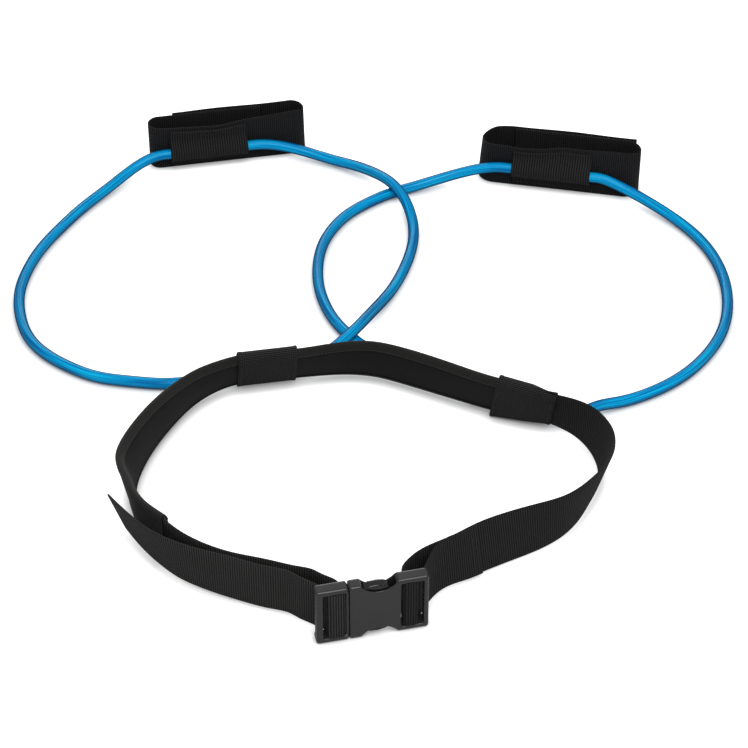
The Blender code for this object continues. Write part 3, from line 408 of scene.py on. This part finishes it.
# The pad's edge tape: a folded grosgrain strip over each long edge, sewn through with one row of
# stitches a little in from its lip on both faces.
def stitches(name, path, out, finish, pitch=0.0034, long=0.0026, thick=0.00035, sides=5):
    """A row of sewing thread along a path: one bead for each stitch, half sunk in the cloth."""
    out = np.broadcast_to(out, path.shape)
    run = np.r_[0, np.cumsum(np.linalg.norm(np.diff(path, axis=0), axis=1))]
    starts = np.arange(pitch / 2, run[-1] - long, pitch)
    first_ends, last_ends = (np.column_stack([np.interp(starts + shift, run, column) for column in path.T])
                             for shift in (0, long))
    away = np.column_stack([np.interp(starts, run, column) for column in out.T])
    corners = [2 * math.pi * corner / sides for corner in range(sides)]
    verts, faces = [], []
    for a, b, normal in zip(first_ends, last_ends, away):
        ahead = (b - a) / np.linalg.norm(b - a)
        normal = normal - ahead * np.dot(normal, ahead)
        normal /= np.linalg.norm(normal)
        across = np.cross(ahead, normal)
        first = len(verts)
        for along, size in ((0, 0.45), (0.5, 1), (1, 0.45)):
            middle = a + (b - a) * along
            verts += [middle + (across * math.cos(turn) + normal * math.sin(turn)) * thick * size
                      for turn in corners]
        for ring in (first, first + sides):
            faces += [(ring + c, ring + (c + 1) % sides, ring + (c + 1) % sides + sides, ring + c + sides)
                      for c in range(sides)]
        faces += [tuple(first + c for c in range(sides))[::-1],
                  tuple(first + 2 * sides + c for c in range(sides))]
    mesh = bpy.data.meshes.new(name)
    mesh.from_pydata([tuple(v) for v in verts], [], faces)
    mesh.shade_smooth()
    mesh.materials.append(finish)
    row = bpy.data.objects.new(name, mesh)
    bpy.context.collection.objects.link(row)
    return row


thread, tree, shader = material("sewing_thread", {"Roughness": 0.5})
place = node_in(tree, "TexCoord")
strands = node_in(tree, "TexNoise", {"Scale": 3000})
tint = ramp(tree, (0, (0.014, 0.014, 0.015)), (1, (0.05, 0.05, 0.052)))
wire(tree, (place, "Object", strands, "Vector"), (strands, "Fac", tint, "Fac"),
     (tint, "Color", shader, "Base Color"))

grosgrain = cloth("edge_tape", (0.006, 0.006, 0.0055), (0.033, 0.032, 0.03),
                  rib=0.0009, thread=0.0012, depth=0.0002, rough=0.8, fuzz=0.05)
tape_outside = [(-0.00225, 0.0455), (-0.00235, 0.0495), (-0.00205, 0.0519), (-0.0009, 0.0533),
                (0.0008, 0.0536), (0.0024, 0.0529), (0.0035, 0.0509), (0.0046, 0.0482), (0.0053, 0.0455)]
tape_inside = [(-0.0018, 0.0455), (-0.00185, 0.0494), (-0.0016, 0.0515), (-0.0007, 0.0527),
               (0.0007, 0.053), (0.0020, 0.0524), (0.0030, 0.0506), (0.0041, 0.048), (0.0048, 0.0455)]
seam_inset = 0.0032
for edge in ("top", "bottom"):
    section = np.array(tape_outside + tape_inside[::-1])
    seam_height = strap_width - seam_inset
    if edge == "bottom":
        section[:, 1] = strap_width - section[:, 1]
        seam_height = seam_inset
    strip = carry("pad_edge_tape_" + edge, pad_line, inward, upward, section, grosgrain, angle=60)
    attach(strip, "belt")
    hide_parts("pad_binding_" + edge)
    rows = []
    for face, depth, way in (("inner", 0.0051, inward), ("outer", -0.0023, -inward)):
        seam = pad_line[:, :3] + inward * depth + upward * seam_height
        row = stitches(f"{edge}_tape_{face}_seam", seam, way, thread)
        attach(row, "belt")
        rows.append(row)


# The fixed webbing: one length of 50 mm ribbed webbing from the pad's front left end, inside the
# pad and on to the buckle's socket, over its bar and back, where its end is sewn down.
def thinned(line, turn=math.radians(4), twist=math.radians(0.9), longest=0.006):
    """The places of a line that are needed: one each time it has turned or leaned enough."""
    keep = [0]
    turned = leaned = run = 0.0
    for i in range(1, len(line) - 1):
        before = line[i, :3] - line[i - 1, :3]
        after = line[i + 1, :3] - line[i, :3]
        run += np.linalg.norm(before)
        cosine = np.dot(before, after) / (np.linalg.norm(before) * np.linalg.norm(after))
        turned += math.acos(min(1.0, max(-1.0, cosine)))
        leaned += abs(line[i, 3] - line[i - 1, 3])
        if turned > turn or leaned > twist or run > longest:
            keep.append(i)
            turned = leaned = run = 0.0
    return np.array(keep + [len(line) - 1])


def flat(thick, low, high, cuts=8, hem=0.0, hem_wide=0.0, selvedge=0.0006):
    """The section of a strap that stands between two heights: two faces and rounded selvedges."""
    places = list(np.linspace(low + selvedge, high - selvedge, cuts + 1))
    if hem:
        before, past = 0.0006, 0.0003
        places += [low + hem_wide - before, low + hem_wide + past]
        places += [high - hem_wide - past, high - hem_wide + before]
    places.sort()
    wide = [thick / 2 + (hem if y < low + hem_wide or y > high - hem_wide else 0) for y in places]
    face = list(zip(wide, places))
    loop = face + [(wide[-1] * 0.5, high), (-wide[-1] * 0.5, high)] + [(-x, y) for x, y in face[::-1]]
    return np.array(loop + [(-wide[0] * 0.5, low), (wide[0] * 0.5, low)])


webbing = cloth("ribbed_webbing", (0.003, 0.003, 0.0035), (0.034, 0.034, 0.036),
                rib=0.0022, thread=0.0013, depth=0.0005)
fixed_points = belt_points + [
    (76.4, -290.5, 3, 14), (52.4, -305, 4, 10), (35.4, -313.4, 5, 7), (21.6, -320.1, 5, 4),
    (9.5, -330.1, 5, 1), (4.4, -339, 5, 0), (4.4, -346.2, 5, 0), (4.5, -350.3, 5, 0), (5.1, -353.4, 5, 0),
    (5.7, -356.2, 5, 0), (6.5, -357.9, 5, 0), (7.8, -358.4, 5, 0), (11.7, -357.8, 5, 0),
    (15.4, -356.6, 5, 0), (16.6, -355.7, 5, 0), (16.8, -354.3, 5, 0), (16.5, -352.2, 5, 0),
    (15.9, -350, 5, 0), (15.1, -347.8, 5, 0), (17.3, -344.4, 4.4, 0), (19.8, -341.1, 2, 0),
    (24.2, -331.3, 0.6, 0), (30.3, -322.2, 2.2, -3), (39.7, -314.1, 4.8, -8), (63.2, -300.7, 4, -12),
    (75.2, -293.5, 3.6, -13.8),
]
webbing_step = 0.0005
line = smooth(fixed_points, webbing_step)
out, up = lean_frame(line)
keep = thinned(line)
strap_section = flat(strap_thick, 0, strap_width, cuts=5)
strap = carry("webbing_belt", line[keep], out[keep], up[keep], strap_section, webbing, angle=60)
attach(strap, "belt")
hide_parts("strap_fixed")
seam_margin = 0.003
seam_heights = np.linspace(seam_margin, strap_width - seam_margin, 20)
for number, steps_back in enumerate((6, 14)):
    at = len(line) - 1 - steps_back
    seam = line[at, :3] + up[at] * seam_heights[:, None] + out[at] * (strap_thick / 2 + 0.00005)
    row = stitches(f"lap_seam_{number}", seam, out[at], thread, pitch=0.0026, long=0.0021)
    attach(row, "belt")

# The adjusting webbing: the same ribbed webbing from the pad's front left end, round the plug's bar
# and back outside as a loose tail. Light falls along the tail, so its ribs are painted greyer there:
# its material is a lighter copy of the webbing's colours, with painted light.
tail_webbing = cloth("tail_webbing", (0.007, 0.007, 0.007), (0.062, 0.062, 0.06),
                     rib=0.0022, thread=0.0013, depth=0.0005)
adjuster_points = [
    (-201.4, -278.2, 4.4, 0), (-192.6, -287, 3.6, 0), (-175.6, -300, 2.4, 0), (-157.6, -310, 1.8, 0),
    (-139.6, -317.5, 1.8, 0), (-121.6, -323, 2.2, 0), (-103.6, -329, 2.8, 0), (-85.6, -335.5, 3.6, 0),
    (-71.6, -340.5, 4.4, 0), (-63.7, -346.5, 5, 0), (-56.6, -350.5, 5, 0), (-50.3, -355.7, 5, 0),
    (-47.7, -359.7, 5, 0), (-46, -361.9, 5, 0), (-45.1, -364.4, 5, 0), (-44.5, -366.9, 5, 0),
    (-44.3, -369.2, 5, 0), (-44.8, -370.5, 5, 0), (-46, -371, 5, 0), (-50.9, -372.4, 5, 0),
    (-55.6, -373.2, 5, 0), (-57.1, -373, 5, 0), (-57.9, -371.8, 5, 0), (-58.3, -369.8, 5, 0),
    (-58.7, -367.4, 5, 0), (-59.3, -365, 5, 0), (-62.3, -361.6, 4.2, 0), (-73.1, -354.8, 4.2, 0),
    (-83.7, -349.1, 5, 0), (-90.6, -343.5, 4.6, 0), (-110.6, -336, 3.8, 0), (-131.2, -328, 3.2, 0),
    (-151.6, -319, 2.8, -1), (-171.6, -309, 2.6, -4), (-189.6, -298, 3, -7), (-204.3, -284.5, 3.4, -11),
    (-218, -269.4, 4, -13), (-230.1, -253.2, 4.8, -15), (-240.1, -238, 5.6, -17),
]
line = smooth(adjuster_points, webbing_step)
out, up = lean_frame(line)
keep = thinned(line)
strap = carry("adjusting_webbing", line[keep], out[keep], up[keep], strap_section, tail_webbing, angle=60)
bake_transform(strap)
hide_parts("strap_adjuster")

# The buckle: a socket and a plug in satin black plastic, each with a ladder for its webbing. Two
# springy prongs of the plug show in the socket's scoops, with polished pads for the fingers.
polished = moulded("polished_plastic", (0.008, 0.008, 0.008), (0.014, 0.013, 0.014), 0.1, 0.18)
refine("buckle_socket", satin, rounds=14)
refine("buckle_plug", satin, rounds=14)
refine("latch_arm_upper", polished, rounds=36)
refine("latch_arm_lower", polished, rounds=36)


# The waist bands: two pieces of ribbed tape, each wrapped once round the pad and the tube and sewn
# closed outside, so that the tube hangs from the belt. Their cut edges are hemmed.
def rounded(points, reach, steps=5):
    """A path of straight lines in a plane with its corners rounded, starting reach before each."""
    points = np.array(points, float)
    path = [points[0]]
    for before, corner, after in zip(points[:-2], points[1:-1], points[2:]):
        a = corner + (before - corner) * min(0.48, reach / np.linalg.norm(before - corner))
        b = corner + (after - corner) * min(0.48, reach / np.linalg.norm(after - corner))
        path += [(1 - t) ** 2 * a + 2 * t * (1 - t) * corner + t * t * b for t in np.linspace(0, 1, steps)]
    return np.array(path + [points[-1]])


def wound(path, middle, across, over, along):
    """A path in the plane of two directions, and the way it faces as it goes round a third."""
    line = middle + path[:, :1] * across + path[:, 1:2] * over
    ahead = np.gradient(line, axis=0)
    ahead /= np.linalg.norm(ahead, axis=1)[:, None]
    return line, np.cross(ahead, along)


band_webbing = cloth("waist_band_webbing", (0.004, 0.004, 0.0045), (0.045, 0.045, 0.047),
                     rib=0.0017, thread=0.0021, depth=0.0005)
band_path = rounded([(-0.0098, -0.0041), (-0.0040, -0.0043), (0.0016, -0.0043), (0.0042, -0.0022),
                     (0.0058, 0.0020), (0.0066, 0.0120), (0.0069, 0.0250), (0.0065, 0.0410),
                     (0.0053, 0.0505), (0.0018, 0.0546), (-0.0022, 0.0546), (-0.0052, 0.0510),
                     (-0.0080, 0.0400), (-0.0148, 0.0090), (-0.0151, 0.0010), (-0.0118, -0.0040),
                     (-0.0075, -0.0060)], reach=0.003)
band_section = flat(0.0011, -0.028, 0.028, cuts=16, hem=0.00035, hem_wide=0.0035)


def pulled(piece, middle, ahead, across, over, skew, taper):
    """Draws a band's top along the belt, lets its near corner hang and draws its far end in."""
    split = 0.004
    half_up = 0.0235
    level = strap_width / 2
    for vertex in piece.data.vertices:
        place = np.array(vertex.co) - middle
        w, a, o = place @ ahead, place @ across, place @ over
        far = taper * share(w, split, 0.026)
        near = taper * share(w, split, -0.026) * share(o, 0.02, 0)
        high = share(o, 0.015, 0.045)
        o = half_up + (o - half_up) * (1 - 0.05 * far) - 0.002 * near - 0.001 * far
        a -= 0.0038 * far if a > 0 else a * 0.55 * far * high
        a += 0.003 * near * share(a, 0, 0.004)
        w += 0.03 * taper * w + skew * (o - level)
        vertex.co = middle + w * ahead + a * across + o * over


for side, ends, moved, skew, taper in (
        ("left", ((-148.78, -39.07, 8.1, 24.5), (-93.68, -29.1, 8.1, 24.5)), -0.0015, 0, 0),
        ("right", ((90.31, -74.96, 7.3, 17.51), (141.58, -97.48, 7.2, 17.51)), 0.0075, 0.2, 1)):
    line = smooth(ends, step=0.1)
    across, over = (way[0] for way in lean_frame(line))
    ahead = (line[1, :3] - line[0, :3]) / np.linalg.norm(line[1, :3] - line[0, :3])
    middle = (line[0, :3] + line[1, :3]) / 2 + moved * ahead
    path, out = wound(band_path, middle, across, over, ahead)
    band = carry("waist_band_" + side, path, out, ahead, band_section, band_webbing, angle=50)
    rows = []
    for number, place in enumerate((-0.0252, 0.0252)):
        seam = middle + ahead * place + across * 0.0075 + over * np.linspace(0.006, 0.044, 20)[:, None]
        rows.append(stitches(f"waist_band_{side}_seam_{number}", seam, across, thread,
                             pitch=0.003, long=0.0023))
    for piece in [band] + rows:
        pulled(piece, middle, ahead, across, over, skew, taper)
        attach(piece, "belt")
    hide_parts("waist_sleeve_" + side)


# The cuffs: each is one length of webbing folded into a flat loop. Its lap closes outside on hook
# and loop tape, and a patch sewn on its front makes the tunnel that its tube runs through.
def arc(centre, radius, start, end, steps):
    """Points round a centre in a plane, from one angle to another in degrees."""
    angles = np.radians(np.linspace(start, end, steps + 1))
    return [(centre[0] + radius * math.cos(a), centre[1] + radius * math.sin(a)) for a in angles]


def bow(cuff, along):
    """How far the top of a cuff's front wall bows out, towards the buckle, at places along it."""
    return 0.001 * np.interp(along * 1000, *cuff["wave"])


def leaning(piece, foot, ahead, back, cuff, reach=34, front=6):
    """Draws the top of a cuff's hinge end along the cuff and lets it sink towards the back wall."""
    along_by, sink = cuff["lean"]
    hinge_fold = cuff["hinge_fold"]
    for vertex in piece.data.vertices:
        place = np.array(vertex.co) - foot
        a, b = place @ ahead * 1000, place @ back * 1000
        end = share(a, hinge_fold - reach, hinge_fold) ** 1.5 * share(place[2], 0, strap_width)
        behind = share(b, front, front + cuff["depth"])
        vertex.co = foot + place - ahead * along_by * end - rise * sink * end * (0.4 + 0.6 * behind)


cuff_webbing = cloth("cuff_webbing", (0.003, 0.003, 0.0035), (0.024, 0.024, 0.026),
                     rib=0.0022, thread=0.0013, depth=0.0005)
patch_webbing = cloth("patch_webbing", (0.003, 0.003, 0.0035), (0.034, 0.034, 0.036),
                      rib=0.0026, thread=0.0014, depth=0.0006, turned=True)
loop_pile = cloth("loop_pile", (0.008, 0.008, 0.009), (0.03, 0.03, 0.032),
                  rib=0.0006, thread=0.0008, depth=0.0005, rough=0.95, fuzz=0.4)
hook_tape = cloth("hook_tape", (0.006, 0.006, 0.007), (0.04, 0.04, 0.042),
                  rib=0.0012, thread=0.0012, depth=0.0008, rough=0.6)

# A cuff's folds and ends are places along it, in millimetres from its middle; its depth and its wave
# are in millimetres too. Its yaw is in degrees, its middle and its lean in metres.
standing = 0.0003
bow_from = 0.019
tape_thick = 0.001
patch_half = 0.041
cuffs = {
    "left": dict(middle=(-0.1941, 0.3255, 0.021), yaw=11, mirror=1, depth=22, hinge_fold=105, far_fold=-61,
                 inner_end=60, lap_end=-34, lean=(0.001, 0),
                 wave=((-61, -45, -25, 10, 40, 70, 90), (0, 1.5, 3.4, 7, 0, -3, -6))),
    "right": dict(middle=(0.1649, 0.278, 0.025), yaw=-11, mirror=-1, depth=30, hinge_fold=79, far_fold=-90,
                  inner_end=43, lap_end=-84, lean=(0.0035, 0.006),
                  wave=((-90, -82, -57, -30, -10, 11, 32, 56, 79), (-6, -7, -6, -4, -4.5, 2.6, 5.4, 2.3, 0))),
}
for side, cuff in cuffs.items():
    turn = math.radians(cuff["yaw"])
    ahead = np.array([math.cos(turn), math.sin(turn), 0]) * cuff["mirror"]
    back = np.array([-math.sin(turn), math.cos(turn), 0])
    foot = np.array([*cuff["middle"][:2], standing])
    front = 6.8
    layer = 1.5
    straight_from = 4
    rear = front + cuff["depth"]
    lap = rear + 3 * layer
    far_radius = cuff["depth"] / 2
    far_at = cuff["far_fold"] + far_radius
    hinge_radius = (lap - front) / 2
    hinge_at = cuff["hinge_fold"] - hinge_radius

    path = [(a, rear) for a in np.linspace(cuff["inner_end"], far_at + straight_from, 14)]
    path += arc((far_at, front + far_radius), far_radius, 90, 270, 18)
    path += [(a, front) for a in np.linspace(far_at + straight_from, hinge_at - straight_from, 24)]
    path += arc((hinge_at, front + hinge_radius), hinge_radius, -90, 90, 18)
    path = np.array(path) * 0.001
    line = foot + path[:, :1] * ahead + path[:, 1:2] * back
    right = directions(line)[1]
    section = flat(strap_thick, 0, strap_width, cuts=12)
    top = share(section[:, 1], bow_from, strap_width) ** 1.3
    on_front = share(-path[:, 1] * 1000, -0.5 * rear, -0.5 * rear + 4)
    push = -bow(cuff, path[:, 0]) * on_front * (right @ back)
    sections = np.tile(section, (len(line), 1, 1))
    sections[:, :, 0] += push[:, None] * top[None, :]
    wall = carry("cuff_webbing_" + side, line, right, rise, sections, cuff_webbing, angle=60)
    leaning(wall, foot, ahead, back, cuff)
    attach(wall, "cuff_" + side)
    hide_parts("cuff_strap_" + side)

    path = np.array([(a, lap) for a in np.linspace(hinge_at + 0.3, cuff["lap_end"], 22)]) * 0.001
    path[:, 1] += 0.0007 * np.sin((path[:, 0] - path[0, 0]) * 60)
    line = foot + path[:, :1] * ahead + path[:, 1:2] * back
    flap_section = flat(strap_thick, 0, strap_width, cuts=6)
    right = directions(line)[1]
    flap = carry("cuff_lap_" + side, line, right, rise, flap_section, cuff_webbing, angle=60)
    leaning(flap, foot, ahead, back, cuff)
    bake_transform(flap)
    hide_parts("cuff_flap_" + side)

    hook_start = max(cuff["lap_end"], far_at) + 4
    loop_start = far_at + 1
    for name, node, start, long, depth, finish, body in (
            ("hook_strip_", "cuff_hook_", hook_start, 60, rear + 2 * layer, hook_tape, "lap_"),
            ("loop_strip_", "cuff_loop_", loop_start, 84, rear + layer, loop_pile, "cuff_")):
        path = np.array([(a, depth) for a in np.linspace(start, start + long, 12)]) * 0.001
        line = foot + path[:, :1] * ahead + path[:, 1:2] * back
        tape_section = flat(tape_thick, 0.002, 0.048, cuts=4)
        right = directions(line)[1]
        strip = carry(name + side, line, right, rise, tape_section, finish, angle=60)
        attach(strip, body + side)
        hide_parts(node + side)

    tube_at = (cuff["middle"][2] - standing) * 1000
    spine = smooth([(5.1, 46.3, 0), (5.0, 41, 0), (3.6, tube_at + 12.5, 0), (-0.8, tube_at + 8.6, 0),
                    (-5.2, tube_at + 4.6, 0), (-6.9, tube_at - 0.5, 0), (-5.3, tube_at - 5.2, 0),
                    (-0.8, tube_at - 8.6, 0), (3.4, tube_at - 11, 0), (5.0, tube_at - 13.6, 0),
                    (5.1, 4.3, 0)], step=0.0012)[:, :2]
    section = flat(0.0011, -patch_half, patch_half, cuts=16, hem=0.0004, hem_wide=0.0035)
    top = share(spine[:, 1], bow_from, strap_width) ** 1.3
    line, out = wound(spine, foot, back, rise, ahead)
    sections = np.tile(section, (len(spine), 1, 1))
    sections[:, :, 0] -= bow(cuff, section[:, 1])[None, :] * top[:, None] * (out @ back)[:, None]
    patch = carry("tube_tunnel_" + side, line, out, ahead, sections, patch_webbing, angle=50)
    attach(patch, "cuff_" + side)
    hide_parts("cuff_tunnel_" + side)
    rows = []
    for edge, height in (("top", 0.0448), ("bottom", 0.0058)):
        along = np.linspace(0.0025 - patch_half, patch_half - 0.0025, 30)
        depth = 0.0044 - bow(cuff, along) * share(height, bow_from, strap_width) ** 1.3
        seam = foot + along[:, None] * ahead + depth[:, None] * back + rise * height
        row = stitches(f"tunnel_{side}_{edge}_seam", seam, -back, thread, pitch=0.0032, long=0.0025)
        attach(row, "cuff_" + side)
        rows.append(row)
